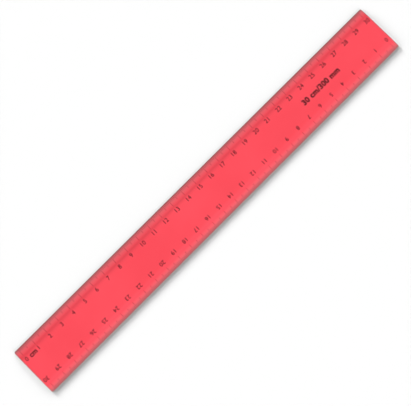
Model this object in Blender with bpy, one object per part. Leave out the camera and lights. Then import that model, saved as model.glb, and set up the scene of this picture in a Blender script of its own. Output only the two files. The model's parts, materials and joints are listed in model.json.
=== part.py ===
"""A 30 cm flexible ruler: one soft plastic strip with bevelled edges and stamped graduations.

The strip is a single moulding. Here it is divided across its length into short links, so that
it can roll up from both ends and twist, as the soft plastic does. +X runs along the scale, +Y
across it and +Z up from the underside. The origin is under the middle of the scale.
"""

import math

import bmesh
import bpy
from mathutils import Matrix, Vector

MM = 0.001

# Strip
SCALE_LENGTH = 300 * MM  # from the first centimetre mark to the last
END_MARGIN = 3 * MM  # plain plastic past the first and the last mark
STRIP_WIDTH = 34 * MM
STRIP_THICKNESS = 1.2 * MM
BEVEL_WIDTH = 6 * MM  # the sloping band along each long edge
EDGE_THICKNESS = 0.7 * MM  # height of the wall where the slope meets it
CORNER_RADIUS = 1 * MM  # the four corners, seen from above
EDGE_ROUNDING = 0.15 * MM  # softens the rim, above and below
CORNER_STEPS = 5
ROUNDING_STEPS = 1
WELD_DISTANCE = 0.01 * MM
FLAT_ANGLE = math.radians(1)  # faces that meet at less than this are one face
STEEP = 0.5  # a face whose normal rises less than this is a wall

# Graduations, stamped into the sloping bands and open at the edge
TICK_PITCH = 1 * MM
TICK_WIDTH = 0.25 * MM
TICK_DEPTH = 0.12 * MM
SHORT_TICK = 3.4 * MM  # every millimetre
MIDDLE_TICK = 5 * MM  # every half centimetre
LONG_TICK = 6.5 * MM  # every centimetre
TICKS_PER_MIDDLE = 5
TICKS_PER_LONG = 10
CUTTER_OVERRUN = 0.5 * MM  # how far a cutter stands out of what it cuts

# Links, which meet at lines midway between two millimetre marks
LINKS_PER_SIDE = 29
CENTRE_LINK_LENGTH = 5 * MM
FULL_BEND = math.radians(30)  # the most that one line bends, either way
BEND_CLEARANCE = 0.023 * MM  # between the links' corners at that bend

HALF_LENGTH = SCALE_LENGTH / 2 + END_MARGIN
HALF_WIDTH = STRIP_WIDTH / 2
RIDGE = HALF_WIDTH - BEVEL_WIDTH  # where the slope meets the flat top
LINK_PITCH = SCALE_LENGTH / 2 / (LINKS_PER_SIDE + 1)  # the end link is longer than the others
HINGE_HEIGHT = STRIP_THICKNESS / 2
LINK_GAP = STRIP_THICKNESS * math.tan(FULL_BEND / 2) + BEND_CLEARANCE

PLASTIC_COLOUR = (0.95, 0.085, 0.115, 1.0)
PLASTIC_ROUGHNESS = 0.3


def clear_scene():
    for existing in list(bpy.data.objects):
        bpy.data.objects.remove(existing, do_unlink=True)


def new_collection(name):
    collection = bpy.data.collections.new(name)
    bpy.context.scene.collection.children.link(collection)
    return collection


def plastic_material():
    material = bpy.data.materials.new("red_plastic")
    material.use_nodes = True
    shader = material.node_tree.nodes["Principled BSDF"]
    shader.inputs["Base Color"].default_value = PLASTIC_COLOUR
    shader.inputs["Roughness"].default_value = PLASTIC_ROUGHNESS
    shader.inputs["Metallic"].default_value = 0.0
    return material


def mesh_from(maker, name):
    """A mesh of what an object shows with its modifiers or curve settings, in world space."""
    bpy.context.view_layer.update()
    evaluated = maker.evaluated_get(bpy.context.evaluated_depsgraph_get())
    mesh = bpy.data.meshes.new_from_object(evaluated)
    mesh.name = name
    mesh.transform(maker.matrix_world)
    bpy.data.objects.remove(maker, do_unlink=True)
    return mesh


def extruded_section(collection):
    """The strip's section as a flat outline, extruded along its whole length."""
    outline = [
        (-HALF_WIDTH, 0),
        (HALF_WIDTH, 0),
        (HALF_WIDTH, EDGE_THICKNESS),
        (RIDGE, STRIP_THICKNESS),
        (-RIDGE, STRIP_THICKNESS),
        (-HALF_WIDTH, EDGE_THICKNESS),
    ]
    curve = bpy.data.curves.new("strip_section", "CURVE")
    curve.dimensions = "2D"
    curve.fill_mode = "BOTH"
    curve.extrude = HALF_LENGTH
    spline = curve.splines.new("POLY")
    spline.points.add(len(outline) - 1)
    for point, (across, up) in zip(spline.points, outline):
        point.co = (across, up, 0, 1)
    spline.use_cyclic_u = True
    section = bpy.data.objects.new("strip_section", curve)
    collection.objects.link(section)
    # the outline's own axes become Y and Z, and its extrusion runs along X
    section.matrix_world = Matrix(((0, 0, 1, 0), (1, 0, 0, 0), (0, 1, 0, 0), (0, 0, 0, 1)))
    return mesh_from(section, "strip_blank")


def is_wall(face):
    return abs(face.normal.z) < STEEP


def stands_at_corner(edge):
    return len(edge.link_faces) == 2 and all(is_wall(face) for face in edge.link_faces)


def lies_on_rim(edge):
    return sum(is_wall(face) for face in edge.link_faces) == 1


def round_edges(mesh):
    """Rounds the four corners as seen from above, and then the whole rim, above and below."""
    shape = bmesh.new()
    shape.from_mesh(mesh)
    bmesh.ops.remove_doubles(shape, verts=shape.verts, dist=WELD_DISTANCE)
    bmesh.ops.dissolve_limit(
        shape, angle_limit=FLAT_ANGLE, verts=shape.verts, edges=shape.edges
    )
    bmesh.ops.recalc_face_normals(shape, faces=shape.faces)
    bmesh.ops.bevel(
        shape,
        geom=[edge for edge in shape.edges if stands_at_corner(edge)],
        offset=CORNER_RADIUS,
        segments=CORNER_STEPS,
        profile=0.5,
        affect="EDGES",
    )
    shape.normal_update()
    bmesh.ops.bevel(
        shape,
        geom=[edge for edge in shape.edges if lies_on_rim(edge)],
        offset=EDGE_ROUNDING,
        segments=ROUNDING_STEPS,
        profile=0.5,
        affect="EDGES",
    )
    shape.to_mesh(mesh)
    shape.free()


def surface_height(across):
    """Height of the printed side at a distance across from the centre line."""
    slope = (STRIP_THICKNESS - EDGE_THICKNESS) / BEVEL_WIDTH
    return STRIP_THICKNESS - max(0, across - RIDGE) * slope


def tick_outline(length):
    """Where a tick's cutter lies in the section, as (across, up), from past the edge inwards."""
    outer = HALF_WIDTH + CUTTER_OVERRUN
    inner = HALF_WIDTH - length
    stations = [outer, inner]
    if inner < RIDGE:
        stations.insert(1, RIDGE)
    floor = [(across, surface_height(across) - TICK_DEPTH) for across in stations]
    roof = [(across, surface_height(across) + CUTTER_OVERRUN) for across in stations]
    return floor + roof[::-1]


def tick_length(number):
    if number % TICKS_PER_LONG == 0:
        return LONG_TICK
    if number % TICKS_PER_MIDDLE == 0:
        return MIDDLE_TICK
    return SHORT_TICK


def add_tick(shape, along, side, length):
    """One tick's cutter: its outline in the section, extruded by the tick's width."""
    start = along - TICK_WIDTH / 2
    corners = [
        shape.verts.new((start, side * across, up)) for across, up in tick_outline(length)
    ]
    outline = shape.faces.new(corners)
    swept = bmesh.ops.extrude_face_region(shape, geom=[outline])["geom"]
    moved = [part for part in swept if isinstance(part, bmesh.types.BMVert)]
    bmesh.ops.translate(shape, verts=moved, vec=(TICK_WIDTH, 0, 0))


def graduation_cutter(collection):
    """Every tick of both scales as one cutter of separate closed bodies."""
    shape = bmesh.new()
    last = round(SCALE_LENGTH / TICK_PITCH)
    for number in range(last + 1):
        along = number * TICK_PITCH - last * TICK_PITCH / 2
        for side in (-1, 1):
            add_tick(shape, along, side, tick_length(number))
    bmesh.ops.recalc_face_normals(shape, faces=shape.faces)
    mesh = bpy.data.meshes.new("graduation_cutter")
    shape.to_mesh(mesh)
    shape.free()
    cutter = bpy.data.objects.new("graduation_cutter", mesh)
    cutter.hide_render = True
    cutter.display_type = "WIRE"
    collection.objects.link(cutter)
    return cutter


def graduated_strip(collection):
    """The whole strip with its graduations cut, as one mesh."""
    blank = extruded_section(collection)
    round_edges(blank)
    strip = bpy.data.objects.new("strip", blank)
    collection.objects.link(strip)
    cut = strip.modifiers.new("graduations", "BOOLEAN")
    cut.operation = "DIFFERENCE"
    cut.object = graduation_cutter(collection)
    return mesh_from(strip, "graduated_strip")


def sliced(strip, start, end, name):
    """The stretch of the strip from start to end along X, closed where it is cut."""
    shape = bmesh.new()
    shape.from_mesh(strip)
    for place, outward in ((start, -1), (end, 1)):
        bmesh.ops.bisect_plane(
            shape,
            geom=[*shape.verts, *shape.edges, *shape.faces],
            plane_co=(place, 0, 0),
            plane_no=(outward, 0, 0),
            clear_outer=True,
        )
        open_edges = [edge for edge in shape.edges if edge.is_boundary]
        if open_edges:
            bmesh.ops.edgeloop_fill(shape, edges=open_edges)
    bmesh.ops.recalc_face_normals(shape, faces=shape.faces)
    mesh = bpy.data.meshes.new(name)
    shape.to_mesh(mesh)
    shape.free()
    return mesh


def add_link(collection, mesh, hinge, parent):
    """A link whose origin lies on its hinge, carried by the link before it."""
    mesh.transform(Matrix.Translation(-hinge))
    mesh.shade_flat()
    mesh.materials.clear()
    mesh.materials.append(bpy.data.materials["red_plastic"])
    link = bpy.data.objects.new(mesh.name, mesh)
    collection.objects.link(link)
    link.location = hinge
    if parent:
        link.parent = parent
        link.location = hinge - Vector(parent["hinge"])
    link["hinge"] = hinge
    return link


def hinge_axis(line, side):
    """Bend lines, which roll the ruler's end up, take turns with twist lines, which wring it."""
    bends = line % 2 == 0
    return (0, -side, 0) if bends else (side, 0, 0)


def build_side(collection, strip, centre, side, word):
    """The links from the centre out to one end. side is 1 for the end at +X and -1 for the other."""
    carrier = centre
    for line in range(LINKS_PER_SIDE):
        near = CENTRE_LINK_LENGTH / 2 + line * LINK_PITCH
        last = line == LINKS_PER_SIDE - 1
        far = HALF_LENGTH + CUTTER_OVERRUN if last else near + LINK_PITCH - LINK_GAP / 2
        start, end = sorted((side * (near + LINK_GAP / 2), side * far))
        name = f"{word}_end" if last else f"{word}_link_{line + 1:02d}"
        mesh = sliced(strip, start, end, name)
        hinge = Vector((side * near, 0, HINGE_HEIGHT))
        carrier = add_link(collection, mesh, hinge, carrier)
        carrier["hinge_axis"] = hinge_axis(line, side)


def build_ruler():
    clear_scene()
    plastic_material()
    ruler = new_collection("flexible_ruler")
    cutters = new_collection("cutters")
    strip = graduated_strip(cutters)
    half_centre = CENTRE_LINK_LENGTH / 2 - LINK_GAP / 2
    middle = sliced(strip, -half_centre, half_centre, "centre_link")
    centre = add_link(ruler, middle, Vector((0, 0, 0)), None)
    build_side(ruler, strip, centre, 1, "right")
    build_side(ruler, strip, centre, -1, "left")
    bpy.data.meshes.remove(strip)


build_ruler()
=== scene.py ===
"""Looks of the 30 cm flexible ruler: its soft red plastic, its stamped ink, light and camera.

The strip is dressed in short stretches, one for each line on which it bends or twists: a stretch of
plastic and the ink that is on it. A lattice, which every second link carries, bends them all as one
smooth strip. +X runs along the scale, +Y across it and +Z up, in metres.
"""

import json
import math

import bmesh
import bpy
from mathutils import Matrix, Vector

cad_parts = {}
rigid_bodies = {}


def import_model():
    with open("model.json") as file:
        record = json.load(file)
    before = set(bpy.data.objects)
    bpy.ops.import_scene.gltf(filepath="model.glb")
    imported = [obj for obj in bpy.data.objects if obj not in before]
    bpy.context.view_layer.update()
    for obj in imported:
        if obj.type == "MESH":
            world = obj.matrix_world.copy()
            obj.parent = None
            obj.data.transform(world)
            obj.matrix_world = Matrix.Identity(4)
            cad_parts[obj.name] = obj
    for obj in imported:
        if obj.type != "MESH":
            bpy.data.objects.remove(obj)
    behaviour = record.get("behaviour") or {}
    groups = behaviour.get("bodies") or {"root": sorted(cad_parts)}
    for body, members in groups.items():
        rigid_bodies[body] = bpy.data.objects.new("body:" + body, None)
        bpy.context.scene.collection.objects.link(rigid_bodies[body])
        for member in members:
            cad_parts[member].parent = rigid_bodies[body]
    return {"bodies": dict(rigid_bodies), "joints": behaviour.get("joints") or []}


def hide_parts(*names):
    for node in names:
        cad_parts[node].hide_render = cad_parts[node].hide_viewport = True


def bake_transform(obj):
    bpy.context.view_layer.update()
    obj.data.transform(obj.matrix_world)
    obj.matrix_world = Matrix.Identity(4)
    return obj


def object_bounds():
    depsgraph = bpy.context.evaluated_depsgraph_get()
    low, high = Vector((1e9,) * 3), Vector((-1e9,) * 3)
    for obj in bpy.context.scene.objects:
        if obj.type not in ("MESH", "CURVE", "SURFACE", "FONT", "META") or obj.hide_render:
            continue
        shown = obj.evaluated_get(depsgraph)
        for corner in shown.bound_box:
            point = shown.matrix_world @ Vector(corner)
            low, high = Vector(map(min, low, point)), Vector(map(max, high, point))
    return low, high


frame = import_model()
SOLIDS_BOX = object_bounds()

MM = 0.001

# Strip, at the size of the solids
HALF_LENGTH, HALF_WIDTH, THICKNESS = SOLIDS_BOX[1]
BEVEL_WIDTH = 6 * MM  # the sloping band along each long edge
EDGE_THICKNESS = 0.7 * MM
CORNER_RADIUS = 1 * MM  # the four corners, seen from above
RIM_RADIUS = 0.15 * MM  # softens the rim, above and below
RIDGE_SOFTNESS = 0.15 * MM  # half the width of the turn from the flat top to the slope
HOLLOW = 0.45  # the slope is a little hollow and steepest at the flat top. 1 would be straight
CORNER_STEPS = 10
RIM_STEPS = 4
ROW_PITCH = 3.5 * MM  # between the skin's rows on the flat parts
EDGE_ROW_PITCH = 1.75 * MM  # and next to the edge
RIDGE_ROWS = (-1, 1, 3, 9)  # rows near the ridge, as times its softness from it
RIDGE = HALF_WIDTH - BEVEL_WIDTH
MAP_LENGTH = 2 * HALF_LENGTH  # what 1 is on the map that the patterns are laid on
SPARE = 1e-6  # what rounding may add to a count of steps
PLASTIC_CREASE = math.radians(35)  # edges of plastic that turn by more than this stay sharp

# Graduations, stamped into the sloping bands
SCALE_LENGTH = 300 * MM
TICK_PITCH = 1 * MM
TICK_WIDTH = 0.25 * MM
TICK_DEPTH = 0.12 * MM
SHORT_TICK = 2.2 * MM  # every millimetre
MIDDLE_TICK = 3.8 * MM  # every half centimetre
LONG_TICK = 5.2 * MM  # every centimetre
TICKS_PER_MIDDLE = 5
TICKS_PER_LONG = 10
WALL = 0.01 * MM  # how far a graduation's walls lean
INK_BELOW = 0.04 * MM  # from the plastic's surface down to the ink in a graduation
INK_BEDDING = 0.01 * MM  # how far ink reaches into the plastic under it
INK_CREASE = math.radians(30)  # edges of ink that turn by more than this stay sharp
WELD = WALL / 10  # points that are nearer to each other than this are one

# Numerals and words
NUMERAL_HEIGHT = 2.7 * MM
NUMERAL_PLACE = 8.65 * MM  # from the middle line to the middle of a numeral
NUMERAL_PITCH = 10 * MM
UNIT_NAME = "cm"
UNIT_PLACE = -144.6 * MM  # along the upper scale
UNIT_HEIGHT = 3.1 * MM
UNIT_BOLDNESS = 0.12 * MM
LABEL = "30 cm/300 mm"
LABEL_HEIGHT = 3.4 * MM
LABEL_PLACE = 99.2 * MM
LABEL_BOLDNESS = 0.18 * MM
LABEL_SPACING = 1.06  # how far apart its letters stand, compared with other words
PRINT_HEIGHT = 0.03 * MM  # how far printed ink stands on the plastic
PRINT_STEP = 0.5 * MM  # printed ink is divided this finely, so that it bends with the plastic
CURVE_STEPS = 4  # in each curve of a letter

# Stretches
SEAM_SHIFT = 0.5 * MM  # a seam lies just past a link's middle, between two graduations
LATTICE_MARGIN = 2 * MM

# Colours. Towards its thin edges the plastic has a paler band of painted sheen and painted light
# through the thin plastic, and a painted shade that is darkest at its rim.
PLASTIC = (0.95, 0.056, 0.08288, 1)
PLASTIC_PALER = (1, 0.06608, 0.0952, 1)
# painted sheen and painted light through the thin plastic, for the paler band along each long edge
PAINTED_EDGE_SHEEN = (0.7, 0.153, 0.174, 1)
# painted shade, for the dark rim along each long edge and at each end
PAINTED_RIM_SHADE = (0.231, 0.0858, 0.0791, 1)
EDGE_SHEEN_WIDTH = 5.09 * MM  # of the band along each long edge that is painted paler, as painted sheen and painted light through the thin plastic
RIM_SHADE_WIDTH = 4.38 * MM  # of the painted shade along each long edge, which is darkest at the edge
END_SHADE_WIDTH = 1.2 * MM  # and of the painted shade at each end
RIM_SHADE_FALL = 3.96  # how sharply that painted shade falls off
INK = (0.022, 0.006, 0.007, 1)
INK_WORN = (0.07, 0.008, 0.011, 1)
STAMPED = (0.46, 0.032, 0.046, 1)  # the thin ink in the graduations
STAMPED_WORN = (0.6, 0.04, 0.058, 1)
WHITE = (1, 1, 1, 1)

# Finish. A range holds the values of a noise, which goes from 0 to 1, at which its effect starts and
# is full.
FLOW_PERIOD = 40 * MM  # of the faint marks that the plastic has from its moulding
FLOW_RANGE = (0.35, 0.65)
GRAIN_PERIOD = 0.5 * MM
GRAIN_HEIGHT = 0.01 * MM
GRAIN_STRENGTH = 0.25
HANDLING_PERIOD = 9 * MM  # of the places that are a little duller from handling
HANDLING_RANGE = (0.3, 0.7)
PLASTIC_ROUGHNESS = (0.34, 0.44)
WEAR_PERIOD = 1.2 * MM  # of the places where the ink is thin
WEAR_RANGE = (0.45, 0.7)
INK_ROUGHNESS = 0.6
INK_GLOSS = 0.2

# Camera. It leans towards the bottom of the picture, so the ruler's -X end is a little nearer to it.
AIM = (-4.39 * MM, -0.86 * MM, 0)  # the point in the middle of the picture
CAMERA_DISTANCE = 712.1 * MM
CAMERA_LEAN = math.radians(6.57)
RULER_TURN = math.radians(45.08)  # from the picture's horizontal to the ruler's length
LENS = 100
SENSOR = 36
NEAREST = 10 * MM  # what is nearer to the camera than this isn't seen

# Floor
FLOOR_REACH = 4  # metres from its middle to each side
FLOOR_PAINT = 0.44  # how pale it is. Its own lights are so strong that it still looks white
FLOOR_GAP = 0.05 * MM  # below the ruler
CLEAR_REACH = 4 * MM  # light that has come less far than this goes through the floor

# Light. The key lights the ruler from the lower right of the picture. The floor has lights of its
# own, most of them from the upper left, for the soft shadow that lies round the whole ruler. Sides are
# angles in the picture, anticlockwise from its right. A level is what a flat white card gets.
EVEN_LEVEL = 0.45  # of the light from all round. The key adds the rest, up to 1
KEY_SIDE = math.radians(-45)
KEY_ELEVATION = math.radians(23.4)
KEY_SOFTNESS = math.radians(20)
# (side, elevation, softness) in degrees, and the light's share of the floor's whiteness
FLOOR_LIGHTS = [
    (135, 9, 8, 0.325),
    (90, 12, 16, 0.163),
    (180, 12, 16, 0.163),
    (-45, 16, 30, 0.15),
]


def link_lines():
    """Where the strip bends or twists, from -X to +X.

    Each is (place along X, the body on its -X side, the body on its +X side, the outer body)."""
    lines = []
    for joint in frame["joints"]:
        place = joint["pos_m"][0]
        inner, outer = joint["parent"], joint["child"]
        before, after = (inner, outer) if place > 0 else (outer, inner)
        lines.append((place, before, after, outer))
    return sorted(lines)


LINES = link_lines()
LINK_PITCH = LINES[1][0] - LINES[0][0]
GUIDE_PITCH = 2 * LINK_PITCH
CHAIN = [LINES[0][1]] + [after for _, _, after, _ in LINES]  # the links' bodies, from -X to +X


def link_at(along):
    """The body that carries a place along the ruler."""
    number = len(CHAIN) // 2 + round(along / LINK_PITCH)
    return CHAIN[min(max(number, 0), len(CHAIN) - 1)]


# Sections of the strip


def surface_height(across):
    """Height of the printed side at a distance across from the middle line."""
    down = max(0, across - RIDGE) / BEVEL_WIDTH
    return THICKNESS - (THICKNESS - EDGE_THICKNESS) * down**HOLLOW


def evenly(start, end, pitch):
    """Places from start to end, no more than pitch apart."""
    count = max(1, math.ceil((end - start) / pitch - SPARE))
    return [start + (end - start) * step / count for step in range(count + 1)]


def top_stations():
    """Distances across at which the printed side has a row, from the middle to the rim."""
    stations = evenly(0, HALF_WIDTH - LONG_TICK, ROW_PITCH)
    stations += [RIDGE + RIDGE_SOFTNESS * steps for steps in RIDGE_ROWS]
    for length in (LONG_TICK, MIDDLE_TICK, SHORT_TICK):
        stations += [HALF_WIDTH - length, HALF_WIDTH - length + WALL]
    stations += evenly(HALF_WIDTH - SHORT_TICK + WALL, HALF_WIDTH - RIM_RADIUS, EDGE_ROW_PITCH)
    return sorted(set(stations))


TOP_STATIONS = top_stations()
UNDER_STATIONS = evenly(0, RIDGE, ROW_PITCH)


def fitted(station, half_width):
    """A station's distance across where the strip is narrower, in its rounded corners."""
    if station <= RIDGE:
        return station
    share = (half_width - RIM_RADIUS - RIDGE) / (HALF_WIDTH - RIM_RADIUS - RIDGE)
    return RIDGE + (station - RIDGE) * share


def arc(across, up, start, end):
    """Points on a rim's rounding about its centre, from one angle off upright to another."""
    angles = [math.radians(start + (end - start) * n / RIM_STEPS) for n in range(RIM_STEPS + 1)]
    return [(across + RIM_RADIUS * math.sin(a), up + RIM_RADIUS * math.cos(a)) for a in angles]


def printed_side(half_width, tick, drop):
    """The printed side's outline as (across, up), from the middle to the edge's wall.

    It is lowered by drop where a graduation as long as tick runs in from the edge."""
    outline = []
    for station in TOP_STATIONS:
        across = fitted(station, half_width)
        inside = station > HALF_WIDTH - tick + WALL / 2
        outline.append((across, surface_height(across) - (drop if inside else 0)))
    across, up = outline.pop()
    return outline + arc(across, up - RIM_RADIUS, 0, 90)


def underside(half_width):
    """The underside's outline as (across, up), from the edge's wall to the middle."""
    rim = arc(half_width - RIM_RADIUS, RIM_RADIUS, 90, 180)
    return rim + [(across, 0) for across in reversed(UNDER_STATIONS)]


def half_width_at(along):
    """Half the strip's width, which shrinks round the corners."""
    reach = abs(along) - (HALF_LENGTH - CORNER_RADIUS)
    if reach <= 0:
        return HALF_WIDTH
    return HALF_WIDTH - CORNER_RADIUS + math.sqrt(max(0, CORNER_RADIUS**2 - reach**2))


def inset_at(along):
    """How far the rim's rounding draws a section in, close to an end."""
    reach = abs(along) - (HALF_LENGTH - RIM_RADIUS)
    if reach <= 0:
        return 0
    return RIM_RADIUS - math.sqrt(max(0, RIM_RADIUS**2 - reach**2))


def section(along, tick):
    """The whole outline across the strip as points, from the printed side's middle round +Y."""
    inset = inset_at(along)
    half_width = half_width_at(along) - inset
    top = [(across, up - inset) for across, up in printed_side(half_width, tick, TICK_DEPTH)]
    under = [(across, up + inset) for across, up in underside(half_width)]
    half = top + under
    other = [(-across, up) for across, up in half[-2:0:-1]]
    return [(along, across, up) for across, up in half + other]


# Stretches of plastic


def tick_length(number):
    if number % TICKS_PER_LONG == 0:
        return LONG_TICK
    if number % TICKS_PER_MIDDLE == 0:
        return MIDDLE_TICK
    return SHORT_TICK


def ticks_between(start, end):
    """The graduations in a stretch as (place along, length)."""
    last = round(SCALE_LENGTH / TICK_PITCH)
    places = [(n * TICK_PITCH - SCALE_LENGTH / 2, tick_length(n)) for n in range(last + 1)]
    return [(along, length) for along, length in places if start < along < end]


def corner_columns():
    """Places along X where a corner's rounding has a section, at either end."""
    angles = [math.pi / 2 * step / CORNER_STEPS for step in range(CORNER_STEPS + 1)]
    reach = [HALF_LENGTH - CORNER_RADIUS * (1 - math.sin(angle)) for angle in angles]
    return [-place for place in reach] + reach


def columns(start, end):
    """Places along X where a stretch has a section, as {place: length of the graduation there}."""
    found = {start: 0, end: 0}
    for along in corner_columns():
        if start < along < end:
            found[along] = 0
    for along, length in ticks_between(start, end):
        found[along - TICK_WIDTH / 2] = 0
        found[along - TICK_WIDTH / 2 + WALL] = length
        found[along + TICK_WIDTH / 2 - WALL] = length
        found[along + TICK_WIDTH / 2] = 0
        midway = along + TICK_PITCH / 2
        if midway < end - WALL:
            found[midway] = 0
    return sorted(found.items())


def finished_mesh(shape, name, material, crease):
    """Turns a bmesh into a mesh with faces out, smooth up to a crease's angle, with its UV map.

    The map is the flat strip seen from above, with its middle at (0.5, 0.5), so that patterns stay
    on the plastic as it bends."""
    bmesh.ops.recalc_face_normals(shape, faces=shape.faces)
    layer = shape.loops.layers.uv.new("flat")
    for face in shape.faces:
        for corner in face.loops:
            along, across, _ = corner.vert.co
            corner[layer].uv = (0.5 + along / MAP_LENGTH, 0.5 + across / MAP_LENGTH)
    mesh = bpy.data.meshes.new(name)
    shape.to_mesh(mesh)
    shape.free()
    mesh.shade_smooth()
    mesh.set_sharp_from_angle(angle=crease)
    mesh.materials.append(material)
    return mesh


def plastic_mesh(start, end, name, material):
    """A closed stretch of the strip, with its graduations stamped in."""
    shape = bmesh.new()
    rings = []
    for along, tick in columns(start, end):
        rings.append([shape.verts.new(point) for point in section(along, tick)])
    for ring, following in zip(rings, rings[1:]):
        for n in range(len(ring)):
            before = n - 1
            shape.faces.new((ring[before], ring[n], following[n], following[before]))
    shape.faces.new(rings[0])
    shape.faces.new(rings[-1])
    return finished_mesh(shape, name, material, PLASTIC_CREASE)


# Ink


def add_tick_ink(shape, along, length, side):
    """The ink that lies in one graduation."""
    surfaces = []
    for drop in (INK_BELOW, TICK_DEPTH + INK_BEDDING):
        outline = printed_side(HALF_WIDTH, length, drop)
        inner = HALF_WIDTH - length + WALL / 2
        surfaces.append([(side * across, up) for across, up in outline if across > inner])
    outline = surfaces[0] + surfaces[1][::-1]
    half = TICK_WIDTH / 2 - WALL
    near, far = (
        [shape.verts.new((along + shift, across, up)) for across, up in outline]
        for shift in (-half, half)
    )
    top = len(surfaces[0])
    for n in range(len(outline)):
        shape.faces.new((near[n - 1], near[n], far[n], far[n - 1]))
    for ring in (near, far):
        for n in range(top - 1):
            below = len(outline) - 1 - n
            shape.faces.new((ring[n], ring[n + 1], ring[below - 1], ring[below]))


def flat_text(words, size, boldness=0, spacing=1):
    """Words as flat faces about the origin, written along +X."""
    curve = bpy.data.curves.new("words", "FONT")
    curve.body = words
    curve.size = size
    curve.align_x = "CENTER"
    curve.resolution_u = CURVE_STEPS
    curve.offset = boldness
    curve.space_character = spacing
    writer = bpy.data.objects.new("words", curve)
    bpy.context.scene.collection.objects.link(writer)
    bpy.context.view_layer.update()
    written = writer.evaluated_get(bpy.context.evaluated_depsgraph_get())
    mesh = bpy.data.meshes.new_from_object(written)
    bpy.data.objects.remove(writer)
    bpy.data.curves.remove(curve)
    return mesh


def height_of(mesh):
    heights = [vertex.co.y for vertex in mesh.vertices]
    return max(heights) - min(heights)


def size_for(height):
    """The font size at which a numeral has this height."""
    numeral = flat_text("1", 1)
    size = height / height_of(numeral)
    bpy.data.meshes.remove(numeral)
    return size


def placed_text(words, height, along, across, turned=False, boldness=0, spacing=1):
    """Words as flat faces on the printed side, centred on a numeral's middle height."""
    mesh = flat_text(words, size_for(height), boldness, spacing)
    turn = Matrix.Rotation(math.pi if turned else 0, 4, "Z")
    place = Matrix.Translation((along, across, THICKNESS - INK_BEDDING))
    mesh.transform(place @ turn @ Matrix.Translation((0, -height / 2, 0)))
    places = [vertex.co.x for vertex in mesh.vertices]
    return mesh, min(places), max(places)


def all_print():
    """Every numeral and word on the ruler, as (mesh, least X, greatest X)."""
    unit = placed_text(UNIT_NAME, UNIT_HEIGHT, UNIT_PLACE, NUMERAL_PLACE, boldness=UNIT_BOLDNESS)
    label = placed_text(
        LABEL, LABEL_HEIGHT, LABEL_PLACE, 0, boldness=LABEL_BOLDNESS, spacing=LABEL_SPACING
    )
    found = [unit, label]
    for number in range(round(SCALE_LENGTH / NUMERAL_PITCH) + 1):
        along = number * NUMERAL_PITCH - SCALE_LENGTH / 2
        for side in (1, -1):
            place = (side * along, side * NUMERAL_PLACE)
            found.append(placed_text(str(number), NUMERAL_HEIGHT, *place, turned=side < 0))
    return found


def cut(shape, place, keep=0):
    """Divides the faces at a place along X. With keep 1 or -1, what lies on the other side goes."""
    bmesh.ops.bisect_plane(
        shape,
        geom=[*shape.verts, *shape.edges, *shape.faces],
        plane_co=(place, 0, 0),
        plane_no=(-keep or 1, 0, 0),
        clear_outer=keep != 0,
        dist=WELD,
    )


def add_print(shape, printed, start, end):
    """What one numeral or word has in a stretch, as ink that stands on the plastic."""
    mesh, first, last = printed
    if last <= start or first >= end:
        return
    patch = bmesh.new()
    patch.from_mesh(mesh)
    bmesh.ops.remove_doubles(patch, verts=patch.verts, dist=WELD)
    bmesh.ops.dissolve_degenerate(patch, edges=patch.edges, dist=WELD)
    cut(patch, start, keep=1)
    cut(patch, end, keep=-1)
    for place in evenly(start, end, PRINT_STEP)[1:-1]:
        cut(patch, place)
    bmesh.ops.dissolve_degenerate(patch, edges=patch.edges, dist=WELD)
    raised = bmesh.ops.extrude_face_region(patch, geom=list(patch.faces))["geom"]
    moved = [part for part in raised if isinstance(part, bmesh.types.BMVert)]
    bmesh.ops.translate(patch, verts=moved, vec=(0, 0, INK_BEDDING + PRINT_HEIGHT))
    bmesh.ops.recalc_face_normals(patch, faces=patch.faces)
    flat = bpy.data.meshes.new("patch")
    patch.to_mesh(flat)
    patch.free()
    shape.from_mesh(flat)
    bpy.data.meshes.remove(flat)


def ink_mesh(start, end, name, material, printed):
    """All ink in a stretch: its graduations and its share of the numerals and words."""
    shape = bmesh.new()
    for along, length in ticks_between(start, end):
        for side in (1, -1):
            add_tick_ink(shape, along, length, side)
    for words in printed:
        add_print(shape, words, start, end)
    return finished_mesh(shape, name, material, INK_CREASE)


# Materials


class Nodes:
    """A new material's nodes, added and linked in a few words."""

    def __init__(self, name):
        self.material = bpy.data.materials.new(name)
        self.material.use_nodes = True
        self.tree = self.material.node_tree
        self.shader = self.tree.nodes["Principled BSDF"]

    def add(self, kind, inputs=None, **settings):
        node = self.tree.nodes.new(kind)
        for setting, value in settings.items():
            setattr(node, setting, value)
        for socket, value in (inputs or {}).items():
            if isinstance(value, bpy.types.NodeSocket):
                self.tree.links.new(value, node.inputs[socket])
            else:
                node.inputs[socket].default_value = value
        return node

    def noise(self, place, period, detail=2):
        """Noise whose features are about as long as period, from 0 to 1."""
        inputs = {"Vector": place, "Scale": MAP_LENGTH / period, "Detail": detail}
        return self.add("ShaderNodeTexNoise", inputs).outputs["Fac"]

    def between(self, value, low, high, start=0, end=1):
        """A value mapped from low..high to start..end, and held there outside."""
        inputs = {0: value, 1: low, 2: high, 3: start, 4: end}
        return self.add("ShaderNodeMapRange", inputs).outputs[0]

    def mix(self, share, first, second):
        """A colour from the first to the second, by a share from 0 to 1."""
        node = self.add("ShaderNodeMix", {0: share, 6: first, 7: second}, data_type="RGBA")
        return node.outputs[2]

    def math(self, operation, first, second=0):
        return self.add("ShaderNodeMath", {0: first, 1: second}, operation=operation).outputs[0]

    def off_middle(self, place, axis):
        """How far a place on the map is from the ruler's middle along an axis."""
        split = self.add("ShaderNodeSeparateXYZ", {"Vector": place})
        return self.math("ABSOLUTE", self.math("SUBTRACT", split.outputs[axis], 0.5))

    def connect(self, value, socket):
        self.tree.links.new(value, self.shader.inputs[socket])


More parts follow.
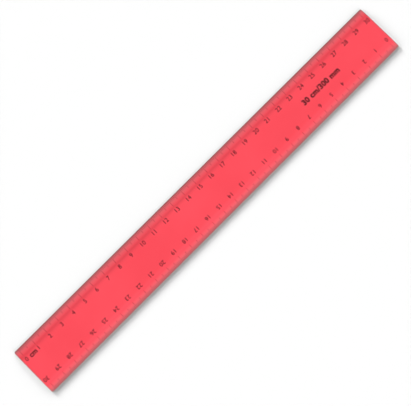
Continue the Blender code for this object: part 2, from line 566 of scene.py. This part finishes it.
def plastic_material():
    """Soft satin plastic: faint flow marks, a fine moulded grain, a paler band of painted sheen and
    painted light through the thin plastic along each long edge, and painted shade that is darkest at
    the thin rim.
    """
    nodes = Nodes("red_plastic")
    place = nodes.add("ShaderNodeUVMap", uv_map="flat").outputs["UV"]
    across, along = nodes.off_middle(place, "Y"), nodes.off_middle(place, "X")
    side, end = HALF_WIDTH / MAP_LENGTH, HALF_LENGTH / MAP_LENGTH
    # where the painted sheen and painted light through the thin plastic make the band along each long
    # edge paler
    thin = nodes.between(across, side - EDGE_SHEEN_WIDTH / MAP_LENGTH, side - WALL / MAP_LENGTH)
    # where the painted shade lies: along each long edge and at each end, darkest at the rim
    at_side = nodes.between(across, side - RIM_SHADE_WIDTH / MAP_LENGTH, side)
    at_end = nodes.between(along, end - END_SHADE_WIDTH / MAP_LENGTH, end)
    rim = nodes.math("POWER", nodes.math("MAXIMUM", at_side, at_end), RIM_SHADE_FALL)

    flow = nodes.noise(place, FLOW_PERIOD)
    body = nodes.mix(nodes.between(flow, *FLOW_RANGE), PLASTIC, PLASTIC_PALER)
    body = nodes.mix(thin, body, PAINTED_EDGE_SHEEN)
    nodes.connect(nodes.mix(rim, body, PAINTED_RIM_SHADE), "Base Color")

    handling = nodes.noise(place, HANDLING_PERIOD, detail=4)
    nodes.connect(nodes.between(handling, *HANDLING_RANGE, *PLASTIC_ROUGHNESS), "Roughness")
    grain = nodes.noise(place, GRAIN_PERIOD, detail=3)
    relief = {"Height": grain, "Strength": GRAIN_STRENGTH, "Distance": GRAIN_HEIGHT}
    nodes.connect(nodes.add("ShaderNodeBump", relief).outputs["Normal"], "Normal")
    return nodes.material


def ink_material():
    """Dark matt ink, thin in places so that the red shows through, and thinner in graduations."""
    nodes = Nodes("dark_ink")
    place = nodes.add("ShaderNodeUVMap", uv_map="flat").outputs["UV"]
    inner = (HALF_WIDTH - LONG_TICK) / MAP_LENGTH
    stamped = nodes.between(nodes.off_middle(place, "Y"), inner - WALL / MAP_LENGTH, inner)
    wear = nodes.between(nodes.noise(place, WEAR_PERIOD, detail=4), *WEAR_RANGE)
    on_top = nodes.mix(wear, INK, INK_WORN)
    in_graduations = nodes.mix(wear, STAMPED, STAMPED_WORN)
    nodes.connect(nodes.mix(stamped, on_top, in_graduations), "Base Color")
    nodes.shader.inputs["Roughness"].default_value = INK_ROUGHNESS
    nodes.shader.inputs["Specular IOR Level"].default_value = INK_GLOSS
    return nodes.material


# Guide


def make_guide():
    """A lattice with a column of points at the middle of every second link, carried by its body.

    Every second line bends and the others twist, so from each column to the next there is one of
    both, and the strip takes an even curve."""
    reach = math.ceil(HALF_LENGTH / GUIDE_PITCH)
    lattice = bpy.data.lattices.new("guide")
    lattice.points_u = 2 * reach + 1
    lattice.interpolation_type_u = "KEY_BSPLINE"
    lattice.interpolation_type_v = "KEY_LINEAR"
    lattice.interpolation_type_w = "KEY_LINEAR"
    guide = bpy.data.objects.new("guide", lattice)
    bpy.context.scene.collection.objects.link(guide)

    span = lattice.points[-1].co - lattice.points[0].co
    half = (reach * GUIDE_PITCH, HALF_WIDTH + LATTICE_MARGIN, THICKNESS + LATTICE_MARGIN)
    guide.scale = [2 * length / steps for length, steps in zip(half, span)]
    guide.location = (0, 0, THICKNESS / 2)
    bpy.context.view_layer.update()

    held = {}
    for number, point in enumerate(lattice.points):
        body = link_at((guide.matrix_world @ point.co).x)
        held.setdefault(body, []).append(number)
    for body, points in held.items():
        hook = guide.modifiers.new(body, "HOOK")
        hook.object = frame["bodies"][body]
        hook.falloff_type = "NONE"
        hook.matrix_inverse = guide.matrix_world
        hook.vertex_indices_set(points)
    return guide


def seam_before(line):
    """Where the stretch that crosses a line starts, unless it is the first."""
    return line[0] - LINK_PITCH / 2 + SEAM_SHIFT


def add_piece(mesh, guide):
    """One stretch of plastic or ink, which bends across its line as the guide does."""
    piece = bpy.data.objects.new(mesh.name, mesh)
    bpy.context.scene.collection.objects.link(piece)
    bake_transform(piece)
    piece.shape_key_add(name="flat")  # the guide bends the piece from this shape at every pose
    bend = piece.modifiers.new("guide", "LATTICE")
    bend.object = guide
    return piece


def dress_ruler():
    guide = make_guide()
    plastic = plastic_material()
    ink = ink_material()
    printed = all_print()
    seams = [seam_before(line) for line in LINES[1:]]
    for line, start, end in zip(LINES, [-HALF_LENGTH] + seams, seams + [HALF_LENGTH]):
        _, before, _, outer = line
        skin = plastic_mesh(start, end, f"plastic_{outer}", plastic)
        stretch = add_piece(skin, guide)
        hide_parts(outer)
        if before == "centre_link":
            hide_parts(before)
        marks = ink_mesh(start, end, f"ink_{outer}", ink, printed)
        add_piece(marks, guide)
    for mesh, _, _ in printed:
        bpy.data.meshes.remove(mesh)


# Stage


def seen_directly(tree):
    """A value that is 1 for rays that show what they meet: from the camera, a gloss or a glass."""
    path = tree.nodes.new("ShaderNodeLightPath")
    total = None
    for name in ("Is Camera Ray", "Is Glossy Ray", "Is Transmission Ray"):
        if total is None:
            total = path.outputs[name]
            continue
        add = tree.nodes.new("ShaderNodeMath")
        add.operation = "ADD"
        add.use_clamp = True
        tree.links.new(total, add.inputs[0])
        tree.links.new(path.outputs[name], add.inputs[1])
        total = add.outputs[0]
    return total


def make_world(level):
    """Even light of this level from all round, seen as plain white."""
    world = bpy.data.worlds.new("studio")
    world.use_nodes = True
    tree = world.node_tree
    light = tree.nodes["Background"]
    light.inputs["Color"].default_value = WHITE
    light.inputs["Strength"].default_value = level
    white = tree.nodes.new("ShaderNodeBackground")
    white.inputs["Color"].default_value = WHITE
    mix = tree.nodes.new("ShaderNodeMixShader")
    tree.links.new(seen_directly(tree), mix.inputs[0])
    tree.links.new(light.outputs[0], mix.inputs[1])
    tree.links.new(white.outputs[0], mix.inputs[2])
    tree.links.new(mix.outputs[0], tree.nodes["World Output"].inputs["Surface"])
    bpy.context.scene.world = world


def keep_below(floor):
    """Holds the floor just under the ruler's lowest place, also where the ruler bends downwards."""
    for along in evenly(-HALF_LENGTH, HALF_LENGTH, LINK_PITCH):
        for across in (-HALF_WIDTH, HALF_WIDTH):
            mark = bpy.data.objects.new("mark", None)
            bpy.context.scene.collection.objects.link(mark)
            mark.parent = frame["bodies"][link_at(along)]
            mark.location = (along, across, THICKNESS / 2)
            limit = floor.constraints.new("FLOOR")
            limit.target = mark
            limit.floor_location = "FLOOR_NEGATIVE_Z"
            limit.offset = -THICKNESS / 2 - FLOOR_GAP


def floor_material():
    """Matt paint that is clear from below and to light that meets it right under the ruler, so that
    the underside can be looked at."""
    material = bpy.data.materials.new("floor")
    material.use_nodes = True
    tree = material.node_tree
    tree.nodes.remove(tree.nodes["Principled BSDF"])
    paint = tree.nodes.new("ShaderNodeBsdfDiffuse")
    paint.inputs["Color"].default_value = (FLOOR_PAINT, FLOOR_PAINT, FLOOR_PAINT, 1)
    clear = tree.nodes.new("ShaderNodeBsdfTransparent")
    geometry = tree.nodes.new("ShaderNodeNewGeometry")
    path = tree.nodes.new("ShaderNodeLightPath")
    near = tree.nodes.new("ShaderNodeMath")
    near.operation = "LESS_THAN"
    near.inputs[1].default_value = CLEAR_REACH
    tree.links.new(path.outputs["Ray Length"], near.inputs[0])
    either = tree.nodes.new("ShaderNodeMath")
    either.operation = "MAXIMUM"
    tree.links.new(geometry.outputs["Backfacing"], either.inputs[0])
    tree.links.new(near.outputs[0], either.inputs[1])
    mix = tree.nodes.new("ShaderNodeMixShader")
    tree.links.new(either.outputs[0], mix.inputs[0])
    tree.links.new(paint.outputs[0], mix.inputs[1])
    tree.links.new(clear.outputs[0], mix.inputs[2])
    tree.links.new(mix.outputs[0], tree.nodes["Material Output"].inputs["Surface"])
    return material


def make_floor():
    mesh = bpy.data.meshes.new("floor")
    shape = bmesh.new()
    bmesh.ops.create_grid(shape, x_segments=1, y_segments=1, size=FLOOR_REACH)
    shape.to_mesh(mesh)
    shape.free()
    mesh.materials.append(floor_material())
    floor = bpy.data.objects.new("floor", mesh)
    bpy.context.scene.collection.objects.link(floor)
    keep_below(floor)
    return floor


def in_picture(right, up):
    """A direction in the picture, as a direction along the ruler's own axes."""
    turn = Matrix.Rotation(-RULER_TURN, 3, "Z")
    return turn @ Vector((right, up, 0))


def make_camera():
    camera = bpy.data.objects.new("camera", bpy.data.cameras.new("camera"))
    bpy.context.scene.collection.objects.link(camera)
    camera.data.lens = LENS
    camera.data.sensor_width = SENSOR
    camera.data.clip_start = NEAREST
    back = in_picture(0, -math.sin(CAMERA_LEAN))
    back.z = math.cos(CAMERA_LEAN)
    camera.location = Vector(AIM) + back * CAMERA_DISTANCE
    camera.rotation_euler = (CAMERA_LEAN, 0, -RULER_TURN)
    bpy.context.scene.camera = camera


def make_sun(name, side, elevation, softness, level, floor, lights_floor):
    """Soft far light of a level, from a side of the picture, for the floor alone or all but it."""
    data = bpy.data.lights.new(name, "SUN")
    data.energy = level * math.pi / math.sin(elevation)
    data.angle = softness
    sun = bpy.data.objects.new(name, data)
    sun.visible_glossy = False
    bpy.context.scene.collection.objects.link(sun)
    direction = in_picture(math.cos(side), math.sin(side)) * math.cos(elevation)
    direction.z = math.sin(elevation)
    sun.rotation_euler = direction.to_track_quat("Z", "Y").to_euler()
    lit = bpy.data.collections.new(name)
    lit.objects.link(floor)
    lit.collection_objects[0].light_linking.link_state = "INCLUDE" if lights_floor else "EXCLUDE"
    sun.light_linking.receiver_collection = lit


def make_stage():
    make_world(EVEN_LEVEL)
    floor = make_floor()
    make_camera()
    make_sun("key", KEY_SIDE, KEY_ELEVATION, KEY_SOFTNESS, 1 - EVEN_LEVEL, floor, False)
    for *angles, share in FLOOR_LIGHTS:
        side, elevation, softness = [math.radians(angle) for angle in angles]
        make_sun("floor_light", side, elevation, softness, share / FLOOR_PAINT, floor, True)
    bpy.context.scene.view_settings.view_transform = "Standard"


dress_ruler()
make_stage()
